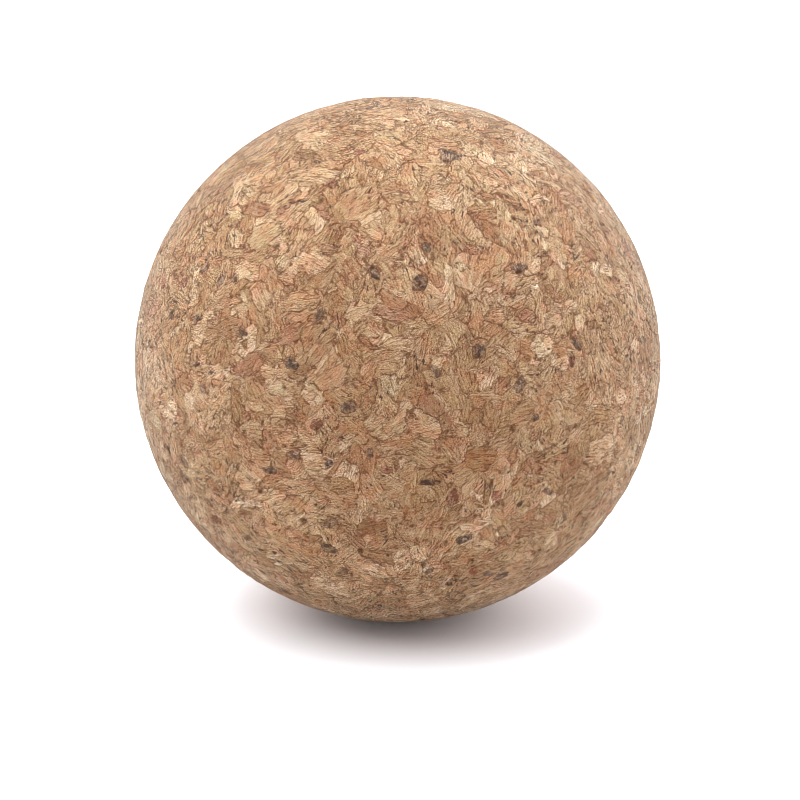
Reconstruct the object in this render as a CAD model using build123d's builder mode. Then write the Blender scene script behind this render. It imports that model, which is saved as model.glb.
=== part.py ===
from build123d import *

import math
import os
from dataclasses import dataclass

import numpy as np

# Cork massage ball: one ball of agglomerated cork. Coarse cork granules of six sorts sit in
# a bonded mass of fine granules and binder, ground flush with it into one smooth sphere.
# Frame: origin at the ball's centre, +Z up, -Y the side that faces the user at rest.
# Millimetres throughout, angles in degrees.

# ---------------------------------------------------------------- driving dimensions
BALL_DIAMETER = 65.0
BALL_RADIUS = BALL_DIAMETER / 2
WEB = 0.26  # fine cork left between neighbouring pockets
GLUE_LINE = 0.03  # binder between a granule and its pocket
PRISM_TOP = 1.2  # how far a granule's blank stands past the surface before grinding
SEED = 650

# Scatter
GRANULE_COUNT = 380
MAX_TRIES = 60000
SHRINK_TRIES = 50000  # random lengths shrink to the sort's shortest over this many tries
POLE_LIMIT = 0.999  # largest sine of a random granule's elevation
MIN_HALF_WIDTH = 0.45
SPACING_FACTOR = 1.04  # on the sum of two granules' reaches
SPACING_GAP = 0.45  # added to that sum
SPACING_RANGE = 8  # granules this far apart never clash

# Outline of a granule
CORNERS = 8
CORNER_PITCH = 360.0 / CORNERS
CORNER_JITTER = 0.36  # spread of a corner's angle, as a share of the pitch
CORNER_REACH = (0.90, 0.16)  # least corner radius and its spread, as shares of the ellipse
CORNER_STEP = 0.95  # a corner in a neighbour's ground is drawn in by this factor
CORNER_LEAST = 0.5  # drawing in stops at this share of the ellipse
INSET_LEAST = 0.55  # an inset leaves at least this share of a corner's radius
NEIGHBOUR_RANGE = 9

# Depth of a granule below the surface
DEPTH_LIMITS = (1.1, 2.9)
DEPTH_PER_SIZE = 0.75  # on half length plus half width
DEPTH_SPREAD = (0.7, 0.6)  # least random factor and its spread

SECTOR_MARGIN = 0.2  # overlap, in cosines, when picking the pockets that may touch a sector

# Granules placed by hand: sort, azimuth, elevation, half length, half width,
# and the long axis's turn from east
MARKED = [
    ("dark", -139.0, 26.9, 0.70, 0.62, 74),
    ("dark", -132.4, 25.1, 0.58, 0.49, 57),
    ("dark", -128.3, 25.5, 0.60, 0.45, -48),
    ("lenticel", -144.6, 23.0, 0.75, 0.55, -34),
    ("dark", -122.9, 15.2, 0.61, 0.48, 6),
    ("dark", -130.4, 6.8, 0.50, 0.54, 82),
    ("dark", -94.9, 28.6, 0.66, 0.52, -59),
    ("dark", -105.9, 19.4, 1.19, 0.60, 75),
    ("dark", -136.5, 16.0, 0.73, 0.46, 22),
    ("dark", -111.2, 10.6, 1.16, 0.60, -24),
    ("lenticel", -109.9, 48.8, 1.09, 0.58, -24),
    ("pale", -124.3, 60.6, 1.71, 1.31, -67),
    ("pale", -133.2, 34.3, 2.10, 1.12, -34),
    ("pale", -116.4, 30.4, 0.98, 0.85, 4),
    ("pale", -124.6, 35.6, 2.20, 1.70, 26),
    ("lenticel", -122.5, 41.8, 0.60, 0.50, 57),
    ("russet", -106.3, 33.7, 1.31, 0.62, -17),
    ("russet", -98.4, 34.6, 1.90, 0.75, -49),
    ("pale", -136.9, 45.3, 1.31, 1.10, 7),
    ("amber", -143.4, 51.0, 1.39, 1.08, 61),
    ("dark", -70.3, 56.5, 1.57, 1.19, 23),
    ("pale", -56.6, 55.3, 1.27, 1.15, 36),
    ("dark", -52.0, 38.6, 0.65, 0.51, -5),
    ("pale", -53.3, 33.5, 1.37, 1.02, -85),
    ("pale", -59.1, 24.9, 0.56, 0.50, -5),
    ("pale", -70.3, 24.7, 0.74, 0.60, -34),
    ("russet", -61.8, 19.0, 1.07, 0.91, -33),
    ("dark", -73.6, 13.4, 0.96, 0.66, -22),
    ("dark", -82.8, 9.6, 0.76, 0.52, -61),
    ("lenticel", -53.1, 9.4, 0.76, 0.52, 63),
    ("dark", -83.2, 33.9, 0.55, 0.48, -1),
    ("russet", -72.6, 33.4, 1.42, 0.65, -35),
    ("pale", -75.6, 29.6, 0.87, 0.58, -29),
    ("dark", -99.3, 3.2, 0.98, 0.66, -18),
    ("dark", -95.3, -6.6, 0.75, 0.52, -72),
    ("lenticel", -92.4, -9.6, 0.68, 0.50, -5),
    ("dark", -116.8, -11.4, 1.00, 0.56, -2),
    ("dark", -103.6, -8.2, 0.62, 0.58, 4),
    ("lenticel", -137.1, -27.4, 1.20, 0.50, 38),
    ("dark", -106.0, -29.2, 1.15, 0.95, -8),
    ("dark", -103.8, -36.8, 0.88, 0.66, 61),
    ("pale", -91.2, 7.4, 1.62, 0.95, -72),
    ("pale", -106.6, 5.2, 1.43, 1.19, -36),
    ("pale", -113.8, 5.4, 1.20, 0.86, -9),
    ("pale", -152.5, -6.9, 1.80, 1.45, 3),
    ("pale", -126.9, -21.6, 2.11, 1.02, 49),
    ("pale", -87.3, -9.0, 0.93, 0.62, 21),
    ("dark", -84.2, -12.4, 0.58, 0.48, 32),
    ("lenticel", -69.9, -16.6, 0.70, 0.50, -26),
    ("dark", -63.4, -19.0, 0.82, 0.58, -9),
    ("dark", -75.1, -26.8, 0.90, 0.80, 62),
    ("dark", -56.9, -17.2, 0.88, 0.50, -33),
    ("dark", -62.5, -0.9, 0.52, 0.48, 80),
    ("russet", -61.5, -4.4, 1.22, 0.62, 16),
    ("dark", -82.5, -35.9, 0.66, 0.60, 56),
    ("pale", -85.2, -30.2, 1.80, 1.25, -52),
    ("russet", -61.9, -10.9, 1.45, 0.89, -40),
    ("amber", -76.4, 7.3, 1.55, 1.25, -61),
    ("pale", -78.0, -1.8, 1.51, 0.65, -46),
    ("russet", -83.6, 3.4, 2.10, 1.25, -51),
    ("russet", -91.1, 20.4, 2.69, 0.90, -12),
    ("amber", -99.6, 13.6, 2.30, 1.20, -68),
    ("russet", -112.4, 15.8, 2.40, 1.10, 42),
    ("amber", -71.6, 0.2, 1.95, 1.03, -74),
    ("russet", -120.4, 9.0, 2.40, 1.20, 36),
    ("amber", -101.2, -13.2, 1.69, 1.30, 3),
    ("tan", -89.6, 15.2, 2.15, 0.90, -10),
    ("tan", -110.7, 22.9, 2.40, 1.30, 13),
    ("tan", -78.3, 44.7, 2.25, 1.50, -39),
]

# Sorts: piece name, then for the random granules the share, half length range and
# range of width over length
SORTS = {
    "tan": ("tan_granules", 0.30, (1.7, 3.5), (0.45, 0.80)),
    "amber": ("amber_granules", 0.19, (1.5, 3.1), (0.42, 0.75)),
    "pale": ("pale_granules", 0.18, (0.9, 2.6), (0.50, 0.90)),
    "russet": ("russet_granules", 0.16, (1.2, 3.0), (0.36, 0.62)),
    "dark": ("dark_bark_granules", 0.11, (0.55, 1.30), (0.55, 0.90)),
    "lenticel": ("lenticel_granules", 0.06, (0.60, 1.20), (0.50, 0.75)),
}

# Sectors of the ball: the way each faces, and its sphere's pole
SECTORS = [
    ((1, 0, 0), (0, 1, 0)),
    ((-1, 0, 0), (0, 1, 0)),
    ((0, 1, 0), (0, 0, 1)),
    ((0, -1, 0), (0, 0, 1)),
    ((0, 0, 1), (1, 0, 0)),
    ((0, 0, -1), (1, 0, 0)),
]


# ---------------------------------------------------------------- one granule
def dot(first, second):
    return sum(first[k] * second[k] for k in range(3))


@dataclass(eq=False)
class Granule:
    """An ellipse in the plane that touches the ball at the granule's centre."""

    sort: str
    out: tuple  # unit direction from the ball's centre
    centre: tuple
    long_axis: tuple
    short_axis: tuple
    half_length: float
    half_width: float
    pocket: list = None  # outline corners in the tangent plane
    chip: list = None
    depth: float = None

    def local(self, point):
        """The point along the long axis, the short axis and outwards."""
        offset = [point[k] - self.centre[k] for k in range(3)]
        return [dot(offset, axis) for axis in (self.long_axis, self.short_axis, self.out)]

    def radius(self, x, y):
        """Radius of the ellipse in the unit direction (x, y)."""
        scale = math.hypot(self.half_width * x, self.half_length * y)
        return self.half_length * self.half_width / scale

    def reach(self, point):
        """Radius of the ellipse towards the point."""
        x, y, _ = self.local(point)
        length = math.hypot(x, y) or 1e-9
        return self.radius(x / length, y / length)

    def measure(self, point):
        """Squared distance to the point, scaled so that the ellipse lies at 1."""
        x, y, z = self.local(point)
        x, y, z = x / self.half_length, y / self.half_width, z / self.half_width
        return x * x + y * y + z * z


def place_granule(sort, azimuth, elevation, half_length, half_width, turn):
    az, el = math.radians(azimuth), math.radians(elevation)
    out = (math.cos(el) * math.cos(az), math.cos(el) * math.sin(az), math.sin(el))
    level = math.hypot(out[0], out[1])
    east = (-out[1] / level, out[0] / level, 0.0)
    north = (-out[2] * east[1], out[2] * east[0], out[0] * east[1] - out[1] * east[0])
    cos, sin = math.cos(math.radians(turn)), math.sin(math.radians(turn))
    long_axis = tuple(cos * east[k] + sin * north[k] for k in range(3))
    short_axis = tuple(-sin * east[k] + cos * north[k] for k in range(3))
    centre = tuple(BALL_RADIUS * x for x in out)
    return Granule(sort, out, centre, long_axis, short_axis, half_length, half_width)


# ---------------------------------------------------------------- where the granules lie
def pick_sort(draw):
    total = 0.0
    for sort, (_, share, _, _) in SORTS.items():
        total += share
        if draw < total:
            return sort
    return sort


def clash(new, old):
    gap = math.dist(new.centre, old.centre)
    if gap >= SPACING_RANGE:
        return False
    reaches = new.reach(old.centre) + old.reach(new.centre)
    return gap < SPACING_FACTOR * reaches + SPACING_GAP


def scatter():
    """The marked granules, then random ones wherever there is room."""
    rng = np.random.RandomState(SEED)
    found = [place_granule(*row) for row in MARKED]
    tries = 0
    while len(found) < GRANULE_COUNT and tries < MAX_TRIES:
        tries += 1
        draws = rng.random_sample(6)
        sort = pick_sort(draws[0])
        _, _, lengths, ratios = SORTS[sort]
        elevation = math.degrees(math.asin(2 * POLE_LIMIT * draws[1] - POLE_LIMIT))
        azimuth = 360.0 * draws[2] - 180.0
        # later tries are smaller, so that the last granules still find room
        shrink = max(0.0, 1 - tries / SHRINK_TRIES)
        length = lengths[0] + (lengths[1] - lengths[0]) * draws[3] * shrink
        ratio = ratios[0] + (ratios[1] - ratios[0]) * draws[4]
        width = max(MIN_HALF_WIDTH, length * ratio)
        turn = 180.0 * draws[5] - 90.0
        new = place_granule(sort, azimuth, elevation, max(length, width), width, turn)
        if not any(clash(new, old) for old in found):
            found.append(new)
    return found


# ---------------------------------------------------------------- how they are shaped
def outline(granule, near, rng):
    """Uneven corners around the ellipse, kept out of the neighbours' ground."""
    corners = []
    start = rng.random_sample() * 360.0 / CORNERS
    for k in range(CORNERS):
        jitter = CORNER_JITTER * (rng.random_sample() - 0.5)
        angle = math.radians(start + (k + jitter) * 360.0 / CORNERS)
        x, y = math.cos(angle), math.sin(angle)
        full = granule.radius(x, y)
        radius = full * (CORNER_REACH[0] + CORNER_REACH[1] * rng.random_sample())
        while radius > CORNER_LEAST * full:
            corner = [
                c + radius * (x * u + y * v)
                for c, u, v in zip(granule.centre, granule.long_axis, granule.short_axis)
            ]
            own = granule.measure(corner)
            if all(other.measure(corner) > max(1.0, own) for other in near):
                break
            radius *= CORNER_STEP
        corners.append((radius * x, radius * y))
    return corners


def inset(corners, amount):
    """The outline with every corner drawn towards the middle by amount."""
    drawn = []
    for x, y in corners:
        radius = math.hypot(x, y)
        scale = max(radius - amount, INSET_LEAST * radius) / radius
        drawn.append((x * scale, y * scale))
    return drawn


def shape(granules):
    """Give every granule its pocket, chip and depth."""
    rng = np.random.RandomState(SEED + 1)
    for granule in granules:
        near = [
            other
            for other in granules
            if other is not granule
            and math.dist(other.centre, granule.centre) < NEIGHBOUR_RANGE
        ]
        granule.pocket = inset(outline(granule, near, rng), WEB / 2)
        granule.chip = inset(granule.pocket, GLUE_LINE)
        size = granule.half_length + granule.half_width
        factor = DEPTH_SPREAD[0] + DEPTH_SPREAD[1] * rng.random_sample()
        depth = DEPTH_PER_SIZE * size * factor
        granule.depth = min(max(depth, DEPTH_LIMITS[0]), DEPTH_LIMITS[1])


def prism(granule, corners, depth):
    """A prism along the granule's radius, from depth below the surface to just past it."""
    floor = Plane(
        origin=tuple((BALL_RADIUS - depth) * x for x in granule.out),
        x_dir=granule.long_axis,
        z_dir=granule.out,
    )
    with BuildPart() as blank:
        with BuildSketch(floor):
            Polygon(*corners, align=None)
        extrude(amount=depth + PRISM_TOP)
    return blank.part


# ---------------------------------------------------------------- the pieces
def sector(out, pole, granules, pockets):
    """The sixth of the ball that faces out, with its pockets. The seam of the sphere it is
    cut from lies on the far side."""
    out, pole = Vector(*out), Vector(*pole)
    across = out.cross(pole)
    with BuildPart(Plane(origin=(0, 0, 0), x_dir=out * -1, z_dir=pole)) as sixth:
        Sphere(BALL_RADIUS)
        for side in (out + pole, out - pole, out + across, out - across):
            split(bisect_by=Plane(origin=(0, 0, 0), z_dir=side), keep=Keep.TOP)
    near = []
    for granule, pocket in zip(granules, pockets):
        way = Vector(*granule.out)
        if max(abs(way.dot(pole)), abs(way.dot(across))) < way.dot(out) + SECTOR_MARGIN:
            near.append(pocket)
    with BuildPart() as pierced:
        add(sixth.part)
        add(near, mode=Mode.SUBTRACT, clean=False)
    return pierced.part


def make_bonded_fines(granules):
    """The mass of fine granules and binder. Its six sectors are joined without cleaning,
    since one spherical face with only holes and no outer edge does not survive STEP."""
    pockets = [prism(g, g.pocket, g.depth + GLUE_LINE) for g in granules]
    sectors = [sector(out, pole, granules, pockets) for out, pole in SECTORS]
    with BuildPart() as fines:
        add(sectors, clean=False)
    return fines.part


def make_granules(granules, sort):
    """All granules of one sort, ground flush with the ball."""
    blanks = [prism(g, g.chip, g.depth) for g in granules if g.sort == sort]
    with BuildPart() as ground:
        add(blanks)
        Sphere(BALL_RADIUS, mode=Mode.INTERSECT)
    return ground.part


def save(part, name):
    part.label = name
    export_step(part, f"parts/{name}.step")


os.makedirs("parts", exist_ok=True)
all_granules = scatter()
shape(all_granules)
save(make_bonded_fines(all_granules), "bonded_fines")
for sort, (name, *_) in SORTS.items():
    save(make_granules(all_granules, sort), name)
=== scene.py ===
import math

import bpy
import numpy as np
from mathutils import Matrix, Vector


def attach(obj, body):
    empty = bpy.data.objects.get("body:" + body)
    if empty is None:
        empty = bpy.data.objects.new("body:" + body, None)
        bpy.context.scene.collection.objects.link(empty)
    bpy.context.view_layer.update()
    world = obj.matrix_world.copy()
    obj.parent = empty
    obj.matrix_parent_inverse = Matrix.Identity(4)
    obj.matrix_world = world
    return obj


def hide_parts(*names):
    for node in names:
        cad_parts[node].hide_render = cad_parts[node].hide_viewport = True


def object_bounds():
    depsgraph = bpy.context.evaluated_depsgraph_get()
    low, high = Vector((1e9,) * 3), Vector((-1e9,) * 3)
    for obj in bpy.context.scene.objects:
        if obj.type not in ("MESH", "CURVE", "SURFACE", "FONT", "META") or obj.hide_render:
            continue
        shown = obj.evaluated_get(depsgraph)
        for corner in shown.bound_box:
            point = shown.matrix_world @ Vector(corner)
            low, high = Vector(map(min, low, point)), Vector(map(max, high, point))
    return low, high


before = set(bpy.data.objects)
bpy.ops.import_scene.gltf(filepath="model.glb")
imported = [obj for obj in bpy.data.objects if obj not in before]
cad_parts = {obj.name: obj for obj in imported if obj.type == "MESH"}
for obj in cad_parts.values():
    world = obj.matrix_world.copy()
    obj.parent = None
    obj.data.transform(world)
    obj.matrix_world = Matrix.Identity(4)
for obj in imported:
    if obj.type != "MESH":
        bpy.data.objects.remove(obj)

# A massage ball of agglomerated cork, centred on the origin with +Z up; the camera stands
# on the -Y side. The CAD gives a bonded mass with pockets and six sorts of coarse granules
# ground flush with it. Each CAD node gets one piece with the broken, crowned and pitted skin
# of ground cork: coarse granules keep their CAD outlines, and the mass between them is filled
# with fine granules. Lengths in the mesh code are millimetres; objects are in metres.

MM = 0.001
CAD_BOX = [list(corner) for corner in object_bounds()]
RADIUS = 0.25 * sum((CAD_BOX[1][k] - CAD_BOX[0][k]) for k in (1, 2)) / MM
LEVELS = 8  # times the icosahedron is halved
FINE_COUNT = 4000

GRANULE_NODES = [
    "pale_granules",
    "tan_granules",
    "amber_granules",
    "russet_granules",
    "dark_bark_granules",
    "lenticel_granules",
]

# noise layers: feature size in mm, strength, salt
WARP = [(1.7, 0.42, 1), (0.62, 0.17, 4), (0.27, 0.05, 7)]  # x; y and z take the next salts
RAGGED = [(0.75, 0.16, 11), (0.33, 0.13, 12)]  # broken outlines of coarse granules
CRACKED = [(2.6, 0.6, 21), (1.0, 0.55, 22)]  # where seams have opened
ROUGH = [(2.2, 0.026, 31), (0.8, 0.024, 32), (0.36, 0.024, 33)]  # uneven skin

OUTLINE_GROWTH = 0.11  # coarse outlines are grown by this before they are made ragged
COARSE_MARGIN = 1.6  # how far round a coarse granule its gap is worked out
FINE_MARGIN = 4.2  # how far round a block of skin its fine granules are looked for

# relief in mm
SKIN_DROP = 0.035  # mean skin below the CAD sphere
CROWN_HEIGHT, CROWN_WIDTH = 0.022, 0.38
PROUD_HEIGHT = 0.075  # spread of height from granule to granule
LEAN_SLOPE, LEAN_LIMIT = 0.06, 0.07
SEAM_DEPTH, SEAM_WIDTH = 0.012, 0.16
CRACK_DEPTH, CRACK_WIDTH = 0.11, 0.10
POCKET_CLEARANCE = 0.06  # a pocket's apex below that of its granule

# placed pits where crumbs have torn out: azimuth, elevation, radius in mm, depth in mm
PITS = np.array([
    (-58.4, 39.5, 0.45, 0.32), (-62.3, 27.9, 0.35, 0.28), (-64.9, 23.3, 0.30, 0.25),
    (-67.0, -2.6, 0.40, 0.30), (-110.6, -22.6, 0.50, 0.36), (-98.4, -29.0, 0.42, 0.30),
    (-84.0, -33.4, 0.48, 0.34), (-119.6, 33.4, 0.36, 0.26), (-74.9, -38.6, 0.34, 0.26),
])
SCATTERED_PITS = 330

rng = np.random.RandomState(2026)


# ---------------------------------------------------------------- noise
def lattice(ix, iy, iz, salt):
    """A repeatable number in -1..1 for each lattice point, by integer hashing."""
    bits = (
        ix.astype(np.uint32) * np.uint32(0x9E3779B1)
        ^ iy.astype(np.uint32) * np.uint32(0x85EBCA77)
        ^ iz.astype(np.uint32) * np.uint32(0xC2B2AE3D)
        ^ np.uint32((salt * 0x27D4EB2F) & 0xFFFFFFFF)
    )
    bits ^= bits >> np.uint32(15)
    bits *= np.uint32(0x2C1B3C6D)
    bits ^= bits >> np.uint32(12)
    bits *= np.uint32(0x297A2D39)
    bits ^= bits >> np.uint32(15)
    unit = (bits >> np.uint32(8)).astype(np.float32)
    return unit * np.float32(2.0 / 16777215.0) - np.float32(1)


def noise(points, size, salt):
    """Smooth value noise in about -1..1 with features of the given size."""
    scaled = (points / size + 512.37).astype(np.float64)
    base = np.floor(scaled)
    part = (scaled - base).astype(np.float32)
    base = base.astype(np.int64)
    part = part * part * part * (part * (part * 6 - 15) + 10)
    x, y, z = part.T
    ix, iy, iz = base.T
    total = np.zeros(len(points), np.float32)
    for dx in (0, 1):
        wx = x if dx else 1 - x
        for dy in (0, 1):
            wy = y if dy else 1 - y
            for dz in (0, 1):
                wz = z if dz else 1 - z
                total += wx * wy * wz * lattice(ix + dx, iy + dy, iz + dz, salt)
    return total


def noises(points, layers, next_salt=0):
    return sum(strength * noise(points, size, salt + next_salt)
               for size, strength, salt in layers)


def smooth(x, low, high):
    x = np.clip((x - low) / (high - low), 0, 1)
    return x * x * (3 - 2 * x)


# ---------------------------------------------------------------- geometry
def edges_of(faces):
    return np.concatenate([faces[:, [0, 1]], faces[:, [1, 2]], faces[:, [2, 0]]])


def on_sphere(flat, turn, z):
    """Directions from distance off the Z axis, angle round it and height."""
    return np.stack([flat * np.cos(turn), flat * np.sin(turn), z], 1)


def tangents(facing):
    """Two axes square to each direction and to one another."""
    up = np.where(np.abs(facing[..., 2:3]) < 0.9, [0, 0, 1.0], [1.0, 0, 0])
    across = np.cross(up, facing)
    across /= np.linalg.norm(across, axis=-1, keepdims=True)
    return across, np.cross(facing, across)


def geodesic(levels):
    """Directions and triangles of an icosahedron halved a number of times."""
    g = (1 + 5**0.5) / 2
    points = np.array(
        [(-1, g, 0), (1, g, 0), (-1, -g, 0), (1, -g, 0), (0, -1, g), (0, 1, g), (0, -1, -g),
         (0, 1, -g), (g, 0, -1), (g, 0, 1), (-g, 0, -1), (-g, 0, 1)], float)
    points /= np.linalg.norm(points, axis=1)[:, None]
    faces = np.array(
        [(0, 11, 5), (0, 5, 1), (0, 1, 7), (0, 7, 10), (0, 10, 11), (1, 5, 9), (5, 11, 4),
         (11, 10, 2), (10, 7, 6), (7, 1, 8), (3, 9, 4), (3, 4, 2), (3, 2, 6), (3, 6, 8),
         (3, 8, 9), (4, 9, 5), (2, 4, 11), (6, 2, 10), (8, 6, 7), (9, 8, 1)], np.int64)
    for _ in range(levels):
        count = len(points)
        edges = edges_of(faces)
        edges.sort(axis=1)
        keys, back = np.unique(edges[:, 0] * count + edges[:, 1], return_inverse=True)
        mid = points[keys // count] + points[keys % count]
        mid /= np.linalg.norm(mid, axis=1)[:, None]
        ab, bc, ca = count + back.reshape(3, -1)
        a, b, c = faces.T
        faces = np.concatenate([
            np.stack(corners, 1)
            for corners in ((a, ab, ca), (b, bc, ab), (c, ca, bc), (ab, bc, ca))])
        points = np.vstack([points, mid])
    return points, faces


# ---------------------------------------------------------------- coarse granules from the CAD
def welded(mesh):
    """Points in mm and triangles of a CAD mesh, with coincident points made one."""
    coords = np.zeros(len(mesh.vertices) * 3, np.float32)
    mesh.vertices.foreach_get("co", coords)
    coords = coords.reshape(-1, 3) / MM
    keys = np.round(coords * 200).astype(np.int64)
    _, first, same = np.unique(keys, axis=0, return_index=True, return_inverse=True)
    mesh.calc_loop_triangles()
    faces = np.zeros(len(mesh.loop_triangles) * 3, np.int32)
    mesh.loop_triangles.foreach_get("vertices", faces)
    return coords[first].astype(float), same.reshape(-1)[faces.reshape(-1, 3)]


def connected(count, faces):
    """A label for each point, shared by all the points it is joined to."""
    label = np.arange(count)
    while True:
        lowest = label[faces].min(1)
        new = label.copy()
        for k in range(3):
            np.minimum.at(new, faces[:, k], lowest)
        new = new[new]
        if (new == label).all():
            return label
        label = new


def granules_of(node):
    """Every granule of a CAD node: the direction it faces, its outline in its own tangent
    plane, and how deep it goes."""
    points, faces = welded(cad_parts[node].data)
    label = connected(len(points), faces)
    found = []
    for each in np.unique(label):
        own = points[label == each]
        base = own[np.linalg.norm(own, axis=1) < RADIUS - 0.6]
        # the granule's base is flat and square to its own radius
        mid = base.mean(0)
        normal = np.linalg.svd(base - mid)[2][2]
        facing = normal * np.sign(normal @ mid)
        u, v = tangents(facing)
        outline = np.stack([base @ u, base @ v], 1)
        from_mid = outline - outline.mean(0)
        outline = outline[np.argsort(np.arctan2(from_mid[:, 1], from_mid[:, 0]))]
        centre = outline.mean(0)
        long_axis = np.linalg.svd(outline - centre)[2][0]
        found.append({
            "node": node, "facing": facing, "u": u, "v": v, "outline": outline,
            "depth": RADIUS - float((base @ facing).mean()),
            "grain": long_axis[0] * u + long_axis[1] * v,
            "middle": centre[0] * u + centre[1] * v + RADIUS * facing,
            "reach": np.linalg.norm(outline, axis=1).max()})
    return found


def outside(points, outline):
    """Signed distance of 2-D points from a closed outline, positive outside."""
    best = np.full(len(points), 1e9)
    inside = np.zeros(len(points), bool)
    for start, end in zip(outline, np.roll(outline, -1, axis=0)):
        side = end - start
        away = points - start
        t = np.clip((away @ side) / (side @ side), 0, 1)
        best = np.minimum(best, np.linalg.norm(away - t[:, None] * side, axis=1))
        y = points[:, 1]
        crossing = (end[0] - start[0]) * (y - start[1]) / (end[1] - start[1] + 1e-12) + start[0]
        inside ^= ((start[1] > y) != (end[1] > y)) & (points[:, 0] < crossing)
    return np.where(inside, -best, best)


coarse = []
for node in GRANULE_NODES:
    coarse += granules_of(node)
coarse.sort(key=lambda g: (round(float(g["facing"][2]), 4), round(float(g["facing"][0]), 4)))


# ---------------------------------------------------------------- fine granules
def fine_granules():
    """Directions, axes and half sizes of fine granules, on a jittered sunflower spiral."""
    index = np.arange(FINE_COUNT)
    z = 1 - 2 * (index + 0.5) / FINE_COUNT
    facing = on_sphere(np.sqrt(1 - z * z), index * math.pi * (3 - 5**0.5), z)
    jitter = rng.random_sample((FINE_COUNT, 3)) - 0.5
    facing += jitter * 1.25 * math.sqrt(4 * math.pi / FINE_COUNT)
    facing /= np.linalg.norm(facing, axis=1)[:, None]
    draw = rng.random_sample((FINE_COUNT, 6))
    length = 0.65 + 2.6 * draw[:, 0] ** 2.0
    width = length * (0.22 + 0.32 * draw[:, 1])
    u, v = tangents(facing)
    cos = np.cos(math.pi * draw[:, 2])[:, None]
    sin = np.sin(math.pi * draw[:, 2])[:, None]
    return facing, cos * u + sin * v, -sin * u + cos * v, length, width


fine_facing, fine_long, fine_cross, fine_length, fine_width = fine_granules()
fine_middle = fine_facing * RADIUS
# cells are the coarse granules, then the fine ones
coarse_count = len(coarse)
cell_count = coarse_count + FINE_COUNT
fine_random = rng.random_sample((FINE_COUNT, 3))
coarse_random = rng.random_sample((coarse_count, 3))
cell_random = np.concatenate([coarse_random, fine_random])
cell_lean = rng.random_sample((cell_count, 3)) - 0.5
cell_middle = np.concatenate([np.array([g["middle"] for g in coarse]), fine_middle])


# ---------------------------------------------------------------- whose ground is it
dirs, tris = geodesic(LEVELS)
ball = dirs * RADIUS
warp = np.stack([noises(ball, WARP, axis) for axis in range(3)], 1)
warped = ball + warp


def claim_coarse():
    """Each skin point's coarse granule or -1, and its distance outside the nearest one."""
    ragged = noises(ball, RAGGED)
    owner = np.full(len(ball), -1)
    gap = np.full(len(ball), 9.0)
    for i, g in enumerate(coarse):
        near = np.where(dirs @ g["facing"] > math.cos((g["reach"] + COARSE_MARGIN) / RADIUS))[0]
        flat = np.stack([warped[near] @ g["u"], warped[near] @ g["v"]], 1)
        raggedness = min(1.0, 0.35 + g["reach"] / 3)  # less on small granules
        away = outside(flat, g["outline"]) - OUTLINE_GROWTH + ragged[near] * raggedness
        nearest = away < gap[near]
        gap[near[nearest]] = away[nearest]
        owner[near[nearest & (away < 0)]] = i
    return owner, gap


def skin_blocks(bands=28, sectors=56):
    """Skin points in compact blocks: bands of equal height cut into sectors."""
    half = bands // 2
    band = np.minimum((dirs[:, 2] + 1) * half, bands - 0.001).astype(int)
    height = (np.arange(bands) + 0.5) / half - 1
    around = np.maximum(1, np.round(sectors * np.sqrt(1 - height**2)).astype(int))
    turn = (np.arctan2(dirs[:, 1], dirs[:, 0]) + math.pi) / (2 * math.pi + 1e-9)
    block = band * 100 + (turn * around[band]).astype(int)
    order = np.argsort(block, kind="stable")
    return np.split(order, np.flatnonzero(np.diff(block[order])) + 1)


def claim_fine():
    """Each skin point's fine granule, the one whose size-scaled distance is least, and
    about how far it is to the next."""
    owner = np.zeros(len(ball), np.int64)
    gap = np.zeros(len(ball), np.float32)
    shape = sum(
        axis[:, :, None] * axis[:, None, :] / (size**2)[:, None, None]
        for axis, size in ((fine_long, fine_length), (fine_cross, fine_width),
                           (fine_facing, fine_width)))
    for block in skin_blocks():
        points = warped[block]
        mid = points.mean(0)
        span = np.linalg.norm(points - mid, axis=1).max() + FINE_MARGIN
        near = np.where(((fine_middle - mid) ** 2).sum(1) < span * span)[0]
        squared = np.empty((len(block), len(near)), np.float32)
        for j, granule in enumerate(near):
            away = points - fine_middle[granule]
            squared[:, j] = (np.einsum("ij,ij->i", away @ shape[granule], away)
                             + (np.einsum("ij,ij->i", away, away) / 10.0) ** 2)
        two = np.argpartition(squared, 1, axis=1)[:, :2]
        rows = np.arange(len(block))
        one, other = squared[rows, two[:, 0]], squared[rows, two[:, 1]]
        swap = one > other
        least, second = np.where(swap, other, one), np.where(swap, one, other)
        best = near[np.where(swap, two[:, 1], two[:, 0])]
        owner[block] = best
        size = np.sqrt(fine_length[best] * fine_width[best])
        gap[block] = (np.sqrt(second) - np.sqrt(least)) * 0.5 * size
    return owner, gap


owner, coarse_gap = claim_coarse()
fine_owner, fine_gap = claim_fine()
fine_gap = np.minimum(fine_gap, np.maximum(coarse_gap, 0)).astype(np.float32)
fine_cell = fine_owner + coarse_count
cell = np.where(owner >= 0, owner, fine_cell)
edge = np.where(owner >= 0, -coarse_gap, fine_gap).astype(np.float32)  # distance to a seam


# ---------------------------------------------------------------- relief
def seam_border():
    """Distance to a seam, with the nearer point on each side of a seam put in it."""
    pair = edges_of(tris)
    pair = pair[cell[pair[:, 0]] != cell[pair[:, 1]]]
    border = edge.copy()
    border[np.where(edge[pair[:, 0]] < edge[pair[:, 1]], pair[:, 0], pair[:, 1])] = 0.0
    return border


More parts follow.
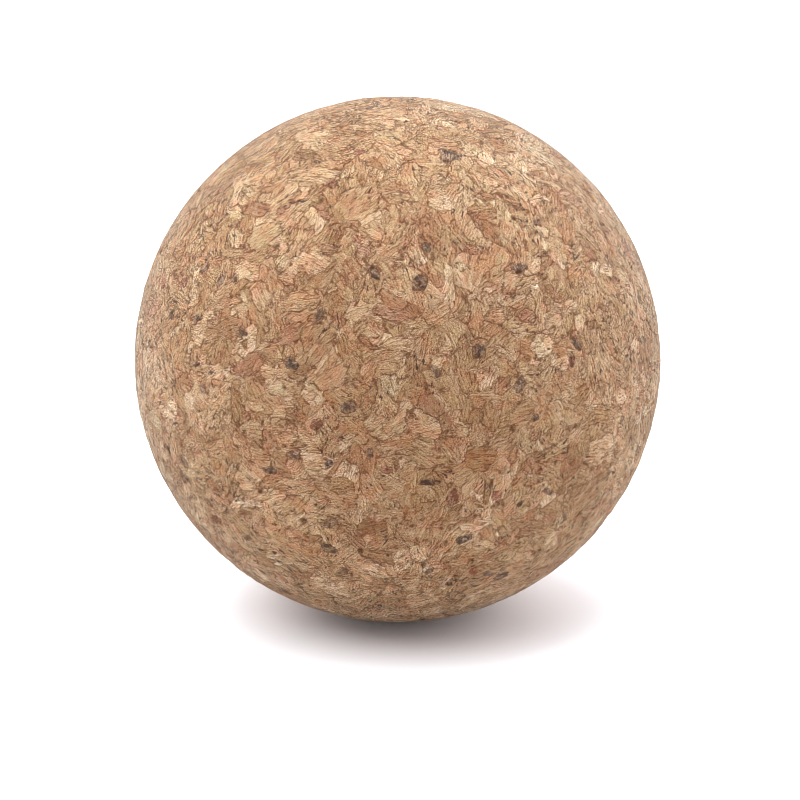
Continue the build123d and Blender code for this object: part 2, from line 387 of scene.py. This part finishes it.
def torn_pits():
    """Depth of the pits at each skin point, and how dark they make it."""
    draw = rng.random_sample((SCATTERED_PITS, 4))
    z = 2 * draw[:, 0] - 1
    azimuth, elevation = np.radians(PITS[:, :2]).T
    facing = np.vstack([
        on_sphere(np.cos(elevation), azimuth, np.sin(elevation)),
        on_sphere(np.sqrt(1 - z * z), 2 * math.pi * draw[:, 1], z)])
    radius = 0.14 + 0.26 * draw[:, 2] ** 2.2
    deep = np.concatenate([PITS[:, 3], radius * (0.45 + 0.5 * draw[:, 3])])
    radius = np.concatenate([PITS[:, 2], radius])
    depth = np.zeros(len(ball), np.float32)
    dark = np.zeros(len(ball), np.float32)
    by_height = np.argsort(dirs[:, 2])
    heights = dirs[by_height, 2]
    points = ball + warp * 0.9
    for d, size, most in zip(facing, radius, deep):
        reach = (size * 2 + 1) / RADIUS
        low = np.searchsorted(heights, d[2] - reach)
        high = np.searchsorted(heights, d[2] + reach)
        near = by_height[low:high]
        away = np.linalg.norm(points[near] - d * RADIUS, axis=1) / size
        hit = away < 1.6
        near, away = near[hit], away[hit]
        depth[near] = np.maximum(depth[near], most * (1 - smooth(away, 0.45, 1.15)))
        dark[near] = np.maximum(dark[near], 1 - smooth(away, 0.55, 1.2))
    return depth, dark


border = seam_border()
crack = np.exp(-((edge / CRACK_WIDTH) ** 2)) * smooth(noises(ball, CRACKED), 0.16, 0.50)
seam = np.exp(-((edge / SEAM_WIDTH) ** 2))
crown = 1 - np.exp(-((edge / CROWN_WIDTH) ** 2))
proud = (cell_random[:, 1][cell] - 0.5).astype(np.float32)
lean = np.einsum("ij,ij->i", cell_lean[cell] * LEAN_SLOPE, ball - cell_middle[cell])
relief = (
    CROWN_HEIGHT * crown
    + PROUD_HEIGHT * proud * crown
    + np.clip(lean, -LEAN_LIMIT, LEAN_LIMIT) * crown
    - SEAM_DEPTH * seam
    - CRACK_DEPTH * crack
)
for size, height, salt in ROUGH:
    relief += height * noise(ball, size, salt)
pit_depth, pit_dark = torn_pits()
skin = dirs * (RADIUS - SKIN_DROP + (relief - pit_depth))[:, None]


# ---------------------------------------------------------------- pieces
def grain_across():
    """For each cell the direction square to its growth lines, which run roughly along it."""
    along = np.concatenate([np.array([g["grain"] for g in coarse]), fine_long])
    facing = np.concatenate([np.array([g["facing"] for g in coarse]), fine_facing])
    tilt = (rng.random_sample(cell_count) - 0.5) * 1.0
    square = np.cross(facing, along)
    across = square * np.cos(tilt)[:, None] + along * np.sin(tilt)[:, None]
    return across.astype(np.float32)


def face_owners():
    """A face goes to the owner of two of its corners, or else of its first."""
    a, b, c = owner[tris].T
    three = (a != b) & (b != c) & (a != c)
    return np.where(three, a, np.where(b == c, b, a))


def apexes(clearance):
    """The point below each coarse granule where its underside, or its pocket, meets."""
    return np.array([
        g["middle"] / np.linalg.norm(g["middle"]) * (RADIUS - g["depth"] - clearance)
        for g in coarse])


def edge_keys(edges):
    """One number for each directed edge."""
    return edges[:, 0] * (10 * len(ball)) + edges[:, 1]


def rim_of(faces):
    """The edges only one of the faces has, in that face's own direction."""
    edges = edges_of(faces)
    return edges[~np.isin(edge_keys(edges), edge_keys(edges[:, ::-1]))]


def fan(start, end, apex):
    return np.stack([start, end, np.full(len(start), apex)], 1)


def build(name, node, faces, rims, cells):
    """The piece that stands for a CAD node, sharp along its rims. cells gives the cell of
    each skin point."""
    used, back = np.unique(np.vstack(faces), return_inverse=True)
    faces = back.reshape(-1, 3).astype(np.int32)
    mesh = bpy.data.meshes.new(name)
    mesh.vertices.add(len(used))
    mesh.vertices.foreach_set("co", (all_points[used] * MM).astype(np.float32).ravel())
    mesh.loops.add(faces.size)
    mesh.loops.foreach_set("vertex_index", faces.ravel())
    mesh.polygons.add(len(faces))
    mesh.polygons.foreach_set("loop_start", np.arange(0, faces.size, 3, dtype=np.int32))
    mesh.update(calc_edges=True)
    mesh.polygons.foreach_set("use_smooth", np.ones(len(faces), bool))

    edges = np.zeros(len(mesh.edges) * 2, np.int32)
    mesh.edges.foreach_get("vertices", edges)
    edges = np.sort(used[edges.reshape(-1, 2)], axis=1)
    sharp = np.isin(edge_keys(edges), edge_keys(np.sort(np.vstack(rims), axis=1)))
    layer = mesh.attributes.new("sharp_edge", "BOOLEAN", "EDGE")
    layer.data.foreach_set("value", sharp)

    # the apexes follow the skin points, once for granules and once for pockets
    own = np.arange(coarse_count)
    cells = np.concatenate([cells, own, own])[used]
    for key, values in (("grain", cell_grain), ("cell", cell_random)):
        layer = mesh.attributes.new(key, "FLOAT_VECTOR", "POINT")
        layer.data.foreach_set("vector", values[cells].astype(np.float32).ravel())
    for key, values, at_apex in (("border", border, 1.0), ("pit", pit_dark, 0.0),
                                 ("crack", crack, 0.0)):
        values = np.concatenate([values, np.full(2 * coarse_count, at_apex)])[used]
        layer = mesh.attributes.new(key, "FLOAT", "POINT")
        layer.data.foreach_set("value", values.astype(np.float32))
    mesh.validate()

    piece = bpy.data.objects.new(name, mesh)
    bpy.context.scene.collection.objects.link(piece)
    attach(piece, "root")
    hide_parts(node)
    made[node] = piece


cell_grain = grain_across()
all_points = np.vstack([skin, apexes(0.0), apexes(POCKET_CLEARANCE)])
face_owner = face_owners()
by_owner = np.argsort(face_owner, kind="stable")
starts = np.searchsorted(face_owner[by_owner], np.arange(coarse_count + 1))
tops = [tris[by_owner[a:b]] for a, b in zip(starts, starts[1:])]
top_rims = [rim_of(top) for top in tops]
made = {}


def build_granules(node):
    faces, rims = [], []
    cells = np.zeros(len(ball), np.int64)
    for i, g in enumerate(coarse):
        if g["node"] == node:
            top, rim = tops[i], top_rims[i]
            faces += [top, fan(rim[:, 1], rim[:, 0], len(ball) + i)]
            rims.append(rim)
            cells[np.unique(top)] = i
    build(node.replace("_granules", "_cork_granules"), node, faces, rims, cells)


def build_mass():
    faces = [tris[face_owner < 0]]
    for i, rim in enumerate(top_rims):
        faces.append(fan(rim[:, 0], rim[:, 1], len(ball) + coarse_count + i))
    build("bonded_cork_mass", "bonded_fines", faces, top_rims, fine_cell)


for node in GRANULE_NODES:
    build_granules(node)
build_mass()


# ---------------------------------------------------------------- shader trees
class Tree:
    """A short way to write the node tree of a material or world."""

    def __init__(self, owner):
        owner.use_nodes = True
        self.nodes = owner.node_tree.nodes
        self.links = owner.node_tree.links
        self.nodes.clear()

    def new(self, kind, inputs={}, **settings):
        """A node with its settings; inputs are sockets to link or plain values."""
        node = self.nodes.new("ShaderNode" + kind)
        for key, value in settings.items():
            setattr(node, key, value)
        for key, value in inputs.items():
            if hasattr(value, "is_output"):
                self.links.new(value, node.inputs[key])
            else:
                node.inputs[key].default_value = value
        return node

    def math(self, operation, *values):
        return self.new("Math", dict(enumerate(values)), operation=operation).outputs[0]

    def add(self, a, b):
        return self.math("ADD", a, b)

    def mul(self, a, b):
        return self.math("MULTIPLY", a, b)

    def mul_add(self, a, b, c):
        return self.math("MULTIPLY_ADD", a, b, c)

    def centred(self, value):
        return self.math("SUBTRACT", value, 0.5)

    def vec(self, operation, *values):
        node = self.new("VectorMath", dict(enumerate(values)), operation=operation)
        return node.outputs["Value" if operation == "DOT_PRODUCT" else "Vector"]

    def scaled(self, vector, by):
        return self.new("VectorMath", {0: vector, 3: by}, operation="SCALE").outputs["Vector"]

    def attribute(self, name, out="Fac"):
        return self.new("Attribute", attribute_name=name).outputs[out]

    def noise(self, at, scale, detail=2.0, rough=0.6, out="Fac"):
        return self.new("TexNoise", {
            "Vector": at, "Scale": scale, "Detail": detail, "Roughness": rough}).outputs[out]

    def voronoi(self, at, scale, feature="F1", out="Distance"):
        return self.new("TexVoronoi", {"Vector": at, "Scale": scale}, feature=feature).outputs[out]

    def map(self, value, over, to=(0.0, 1.0), **settings):
        return self.new("MapRange", {
            "Value": value, "From Min": over[0], "From Max": over[1],
            "To Min": to[0], "To Max": to[1]}, **settings).outputs[0]

    def mix(self, fac, a, b, mode="MIX"):
        a, b = [(*c, 1.0) if isinstance(c, tuple) else c for c in (a, b)]
        return self.new("Mix", {0: fac, 6: a, 7: b}, data_type="RGBA", blend_type=mode).outputs[2]

    def tint(self, fac, colour, by):
        return self.mix(fac, colour, self.mix(1.0, colour, by, "MULTIPLY"))

    def ramp(self, fac, stops):
        node = self.new("ValToRGB", {"Fac": fac})
        elements = node.color_ramp.elements
        while len(elements) < len(stops):
            elements.new(0.5)
        for element, (position, colour) in zip(elements, stops):
            element.position = position
            element.color = (*srgb(*colour), 1.0)
        return node.outputs["Color"]


def srgb(*screen):
    """Linear colour from eight-bit screen values."""
    return tuple((c / 255 / 12.92) if c / 255 <= 0.04045 else ((c / 255 + 0.055) / 1.055) ** 2.4
                 for c in screen)


# ---------------------------------------------------------------- cork
# strength of growth lines, fibre, grit, crumb and the painted light and shade of the relief in the
# tone
LINES, FIBRE, GRIT, CRUMB, RELIEF_SHADING = 0.46, 0.2, 1.15, 2.5, 1.35
ROUGHNESS = 0.86


class Cork(Tree):
    """Cork patterns and colour, worked out in millimetres."""

    def __init__(self, material):
        super().__init__(material)
        self.place = self.scaled(self.new("TexCoord").outputs["Object"], 1000.0)
        # three random values of the granule
        self.cell_shade, self.cell_tone, self.cell_phase = self.new(
            "SeparateXYZ", {0: self.attribute("cell", "Vector")}).outputs
        self.grain = self.attribute("grain", "Vector")
        self.facing = self.new("LayerWeight").outputs["Facing"]  # 1 where seen edge on
        self.add_growth_lines()
        self.add_texture()
        self.add_seams()

    def wobble(self, scale, detail, rough, reach):
        colour = self.noise(self.place, scale, detail, rough, out="Color")
        return self.scaled(self.vec("SUBTRACT", colour, (0.5, 0.5, 0.5)), reach)

    def drawn_out(self, scale, across):
        """A place for textures, finer by `across` square to the growth lines."""
        return self.vec("ADD", self.scaled(self.bent, scale),
                        self.scaled(self.grain, self.mul(self.along, across)))

    def patches(self, scale, over, to=(0.0, 1.0), detail=2.0, rough=0.6):
        return self.map(self.noise(self.place, scale, detail, rough), over, to)

    def add_growth_lines(self):
        """Wavy, fanning lines, never the same spacing twice."""
        bend = self.wobble(scale=0.42, detail=1.0, rough=0.5, reach=1.1)
        self.ripple = self.wobble(scale=1.7, detail=2.0, rough=0.6, reach=0.07)
        self.bent = self.vec("ADD", self.vec("ADD", self.place, bend), self.ripple)
        self.along = self.vec("DOT_PRODUCT", self.bent, self.grain)
        pitch = self.mul_add(self.cell_tone, 1.1, 1.9)  # lines per mm
        phase = self.mul(self.cell_phase, 37.0)
        turns = self.mul_add(self.mul(self.along, pitch), 2 * math.pi, phase)
        wave = self.math("SINE", turns)
        lit = self.math("SINE", self.add(turns, 1.1))
        patch = self.patches(0.9, over=(0.40, 0.60), to=(0.10, 1.0))
        self.groove = self.mul(self.map(wave, over=(0.55, 1.0)), patch)
        self.ridge = self.mul(self.map(lit, over=(-0.6, -1.0)), patch)

    def add_texture(self):
        """Fibre drawn out along the growth lines, grit, crumb, flakes and pores."""
        self.fibre = self.noise(self.drawn_out(1.5, across=3.4), 1.0, detail=2.0, rough=0.90)
        self.grit = self.noise(self.drawn_out(4.2, across=3.2), 1.0, detail=1.0, rough=0.95)
        self.crumb = self.noise(self.place, 7.2, detail=1.0, rough=0.9)
        flake_at = self.drawn_out(0.55, across=1.0)
        # three random values of the flake
        self.flake_shade, self.flake_red, self.flake_tone = self.new(
            "SeparateColor", {0: self.voronoi(flake_at, 1.0, out="Color")}).outputs
        flake_edge = self.voronoi(flake_at, 1.0, "DISTANCE_TO_EDGE")
        self.sliver = self.mul(self.map(flake_edge, over=(0.02, 0.10), to=(1.0, 0.0)),
                               self.patches(1.2, over=(0.45, 0.56)))
        pores = self.voronoi(self.vec("ADD", self.place, self.ripple), 1.9)
        self.speck = self.mul(
            self.map(pores, over=(0.05, 0.17), to=(1.0, 0.0)),
            self.patches(0.9, over=(0.52, 0.62), detail=1.0, rough=0.5))

    def add_seams(self):
        """Seams between granules, open only here and there."""
        broken = self.patches(1.1, over=(0.46, 0.53), to=(0.12, 1.0), rough=0.65)
        close = self.map(self.attribute("border"), over=(0.018, 0.105), to=(1.0, 0.0))
        self.hair = self.mul(close, broken)

    def fine_detail(self, line):
        """Light and dark of the texture; some granules are busy, some nearly plain."""
        fine = self.mul(self.centred(self.fibre), FIBRE)
        fine = self.mul_add(self.centred(self.grit), GRIT, fine)
        fine = self.mul_add(self.centred(self.crumb), CRUMB, fine)
        fine = self.mul_add(self.ridge, LINES * 0.9 * line, fine)
        fine = self.mul_add(self.groove, -LINES * line, fine)
        return self.mul(fine, self.map(self.cell_phase, over=(0.0, 1.0), to=(0.55, 1.15)))

    def normals(self, fine, specks):
        """A softened normal for relief finer than the mesh, and how far the full one turns."""
        high = self.mul(fine, 0.050)
        for value, height in (  # heights in mm
            (self.flake_tone, 0.09), (self.cell_shade, 0.16), (self.hair, -0.14),
            (self.sliver, -0.05), (self.speck, -0.10 * specks),
        ):
            high = self.mul_add(value, height, high)
        bump = self.new("Bump", {"Strength": 1.0, "Distance": MM, "Height": high})
        flat = self.new("NewGeometry").outputs["Normal"]
        turned = self.vec("SUBTRACT", bump.outputs[0], flat)
        soft = self.vec("NORMALIZE", self.vec("ADD", flat, self.scaled(turned, 0.35)))
        return soft, turned

    def base_colour(self, stops, mottle):
        """The granule's colour, redder and yellower in patches."""
        pick = self.add(self.mul(self.cell_shade, 0.80), self.mul(self.flake_shade, 0.20))
        base = self.ramp(pick, stops)
        red = self.add(self.noise(self.place, 0.55), self.mul(self.flake_red, 0.16))
        base = self.tint(self.map(red, over=(0.54, 0.70)), base, srgb(251, 228, 221))
        elsewhere = self.vec("ADD", self.place, (31.0, 7.0, 11.0))
        yellow = self.add(self.noise(elsewhere, 0.55), self.mul(self.flake_shade, 0.12))
        yellow = self.map(yellow, over=(0.54, 0.66), to=(0.0, 0.55))
        base = self.tint(yellow, base, srgb(255, 254, 236))
        if mottle:
            spots = self.patches(1.5, over=(0.44, 0.58), to=(0.0, mottle), detail=3.0, rough=0.7)
            base = self.mix(spots, base, srgb(178, 138, 104))
        return base

    def toned(self, base, fine, turned):
        """The base colour made lighter and darker by granule, flake and texture, with painted
        light and shade on the relief and painted rim light where seen edge on.
        """
        tone = self.mul_add(self.centred(self.cell_tone), 0.30, 1.0)
        tone = self.mul(tone, self.mul_add(self.centred(self.flake_tone), 0.24, 1.0))
        tone = self.mul(tone, self.patches(0.13, over=(0.3, 0.7), to=(0.95, 1.05), rough=0.5))
        # painted light and shade of the relief: slopes turned towards the upper-left key light are
        # painted pale, the others darker
        painted_relief_shading = self.mul(self.vec("DOT_PRODUCT", turned, (-0.50, -0.20, 0.84)), RELIEF_SHADING)
        painted_relief_shading = self.math("MINIMUM", self.math("MAXIMUM", painted_relief_shading, -0.50), 0.32)
        shown = self.math("MINIMUM", fine, self.mul(fine, 0.62))
        shown = self.add(shown, painted_relief_shading)
        # stronger where seen edge on: painted self-shadow of the relief
        shown = self.mul(shown, self.mul_add(self.facing, 0.75, 1.0))
        tone = self.mul(tone, self.add(shown, 1.245))
        tone = self.mul(tone, self.patches(1.9, over=(0.25, 0.75), to=(0.98, 1.02)))
        # a darker spot is redder and a lighter one paler, so blue moves most
        powers = enumerate((1.0, 1.3, 1.8))
        tones = self.new("CombineXYZ", {
            i: self.math("POWER", self.math("MAXIMUM", tone, 0.02), power)
            for i, power in powers})
        colour = self.vec("MULTIPLY", base, tones.outputs[0])
        # painted rim light: the colour made paler and brighter where seen edge on
        return self.mix(self.map(self.facing, over=(0.03, 0.42)), colour,
                        self.vec("MULTIPLY", colour, (1.32, 1.36, 1.37)))

    def darkness(self, specks):
        """How dark the splits, pits, pores and slits are."""
        dark = self.math("MAXIMUM", self.mul(self.hair, 0.86),
                         self.mul(self.attribute("crack"), 0.62))
        for value, strength in ((self.sliver, 0.60), (self.attribute("pit"), 0.88),
                                (self.speck, 0.72 * specks)):
            dark = self.math("MAXIMUM", dark, self.mul(value, strength))
        # short slits between ripped fibres, faint face on and darkened towards the rim as painted
        # crevice shade
        slit_and_rim_shade = self.mul(self.map(self.fibre, over=(0.35, 0.41), to=(1.0, 0.0)),
                        self.map(self.facing, over=(0.12, 0.55), to=(0.10, 0.85)))
        dark = self.math("MAXIMUM", dark, slit_and_rim_shade)
        return self.mul(dark, self.map(self.grit, over=(0.35, 0.6), to=(1.0, 0.85)))

    def torn_and_rim_shading(self, colour, strength):
        """Dark open gaps and pale spots of ripped fibre, both more where seen edge on: painted
        crevice shade and painted rim sheen.
        """
        hollow_at = self.vec("ADD", self.drawn_out(0.95, across=1.7), (17.0, 5.0, 23.0))
        gape = self.noise(hollow_at, 1.0, detail=2.0, rough=0.75)
        # dark gaps, more of them where seen edge on: painted crevice shade
        hollow_and_rim_shade = self.map(self.mul_add(self.facing, -0.095, gape),
                          over=(0.330, 0.348), to=(0.95, 0.0))
        colour = self.mix(hollow_and_rim_shade, colour, srgb(58, 34, 24))
        grain = self.add(self.mul(self.grit, 0.5), self.mul(self.crumb, 0.5))
        # pale ripped-fibre spots, more of them where seen edge on: painted rim sheen
        fleck_and_rim_sheen = self.mul(
            self.map(self.mul_add(self.facing, 0.07, grain), over=(0.57, 0.63)),
            self.patches(1.1, over=(0.42, 0.60), to=(0.2, 1.0), detail=1.0, rough=0.5))
        return self.mix(self.mul(fleck_and_rim_sheen, strength), colour, srgb(232, 200, 162))


def cork(name, stops, line=1.0, specks=1.0, mottle=0.0, fuzz=1.0, torn_and_rim_shading=0.30):
    material = bpy.data.materials.new(name)
    tree = Cork(material)
    fine = tree.fine_detail(line)
    normal, turned = tree.normals(fine, specks)
    colour = tree.toned(tree.base_colour(stops, mottle), fine, turned)
    dark = tree.darkness(specks)
    # ripped-fibre gaps and spots, with painted crevice shade and painted rim sheen where seen edge
    # on
    colour = tree.torn_and_rim_shading(tree.mix(dark, colour, srgb(86, 47, 24)), torn_and_rim_shading)
    shader = tree.new("BsdfPrincipled", {
        "Base Color": colour,
        "Specular IOR Level": 0.35,
        "Roughness": tree.add(tree.map(tree.grit, over=(0.3, 0.7), to=(-0.06, 0.06)), ROUGHNESS),
        # fuzz of torn cells, none down in the splits
        "Sheen Weight": tree.map(dark, over=(0.0, 0.7), to=(0.20 * fuzz, 0.0)),
        "Sheen Roughness": 0.40,
        "Sheen Tint": (0.95, 1.0, 0.96, 1.0),
        "Normal": normal,
    })
    tree.new("OutputMaterial", {0: shader.outputs[0]})
    return material


def even(*colours):
    return list(zip((0.0, 0.5, 1.0), colours))


# stops: colours a granule may take, as screen values; the rest are strengths of growth
# lines, pores, pale mottling, sheen, and pale ripped-fibre spots with their painted rim sheen
PALETTES = {
    "bonded_fines": dict(stops=[
        (0.00, (114, 78, 51)), (0.04, (124, 89, 59)), (0.12, (136, 99, 69)),
        (0.32, (141, 107, 76)), (0.60, (148, 114, 82)), (0.86, (156, 124, 93)),
        (1.00, (165, 137, 105))]),
    "pale_granules": dict(
        stops=even((152, 123, 92), (160, 131, 99), (169, 142, 111)), line=0.8, specks=0.5),
    "tan_granules": dict(
        stops=even((141, 107, 75), (149, 114, 82), (156, 124, 92)), specks=0.8),
    "amber_granules": dict(
        stops=even((136, 99, 67), (144, 107, 74), (152, 115, 82)), line=1.1, specks=0.8),
    "russet_granules": dict(
        stops=even((126, 89, 62), (136, 97, 71), (142, 105, 77)), line=1.1, specks=0.9),
    "dark_bark_granules": dict(
        stops=even((51, 37, 31), (69, 51, 42), (98, 74, 58)),
        line=0.8, specks=1.2, mottle=0.40, fuzz=0.25, torn_and_rim_shading=0.15),
    "lenticel_granules": dict(
        stops=even((84, 44, 32), (104, 58, 42), (128, 78, 56)),
        line=0.8, specks=1.1, mottle=0.3, fuzz=0.4, torn_and_rim_shading=0.2),
}
for node, piece in made.items():
    piece.data.materials.append(cork("cork_" + node, **PALETTES[node]))


# ---------------------------------------------------------------- floor, light and camera
def studio_floor(half=1.6):
    z = min(float(skin[:, 2].min()) * MM, CAD_BOX[0][2] + 0.0004)
    mesh = bpy.data.meshes.new("studio_floor")
    corners = [(-half, -half, z), (half, -half, z), (half, half * 2, z), (-half, half * 2, z)]
    mesh.from_pydata(corners, [], [(0, 1, 2, 3)])
    floor = bpy.data.objects.new("studio_floor", mesh)
    bpy.context.scene.collection.objects.link(floor)
    material = bpy.data.materials.new("studio_white")
    tree = Tree(material)
    # paper that is bright to look at, but throws less light back up
    seen = tree.new("LightPath").outputs["Is Camera Ray"]
    colour = tree.mix(seen, (0.62, 0.575, 0.53), (1.19, 1.19, 1.25))
    shader = tree.new("BsdfDiffuse", {"Color": colour})
    tree.new("OutputMaterial", {0: shader.outputs[0]})
    mesh.materials.append(material)


def studio_world():
    """A white tent, dimmer on the camera's side, a little brighter to the right."""
    world = bpy.data.worlds.new("studio")
    bpy.context.scene.world = world
    tree = Tree(world)
    x, y, _ = tree.new("SeparateXYZ", {0: tree.new("TexCoord").outputs["Generated"]}).outputs
    strength = tree.map(tree.mul_add(x, 0.14, y), over=(-1.0, -0.15), to=(0.34, 1.50),
                        interpolation_type="SMOOTHSTEP")
    shader = tree.new("Background", {"Color": (1.0, 1.005, 1.01, 1), "Strength": strength})
    tree.new("OutputWorld", {0: shader.outputs[0]})


def soft_light(name, place, size, watts, colour):
    """A square area light aimed at the ball."""
    data = bpy.data.lights.new(name, "AREA")
    data.shape = "RECTANGLE"
    data.size = data.size_y = size
    data.energy = watts
    data.color = colour
    lamp = bpy.data.objects.new(name, data)
    bpy.context.scene.collection.objects.link(lamp)
    lamp.location = place
    lamp.rotation_euler = (-Vector(place)).to_track_quat("-Z", "Y").to_euler()


def studio_camera():
    data = bpy.data.cameras.new("camera")
    data.lens = 85
    data.sensor_width = 36
    data.clip_start = 0.005
    camera = bpy.data.objects.new("camera", data)
    bpy.context.scene.collection.objects.link(camera)
    right = Vector((0.99999908, -0.00135279, 0.0))
    up = Vector((3.09213852e-04, 0.228574131, 0.973526461))
    look = Vector((0.00131698, 0.97352557, -0.22857434))
    turn = Matrix((right, up, -look)).transposed().to_4x4()
    camera.matrix_world = Matrix.Translation((0.0, -0.2305196, 0.0489985)) @ turn
    bpy.context.scene.camera = camera


studio_floor()
studio_world()
soft_light("softbox_left", place=(-0.24, -0.34, 0.50), size=0.45, watts=2.3,
           colour=(0.96, 1.01, 1.01))
soft_light("softbox_top", place=(-0.03, -0.02, 0.75), size=0.6, watts=3.3,
           colour=(0.86, 1.02, 1.04))
studio_camera()

scene = bpy.context.scene
scene.cycles.filter_width = 0.8
scene.view_settings.view_transform = "Standard"
scene.view_settings.look = "None"
scene.view_settings.exposure = 0.0
scene.view_settings.gamma = 1.0
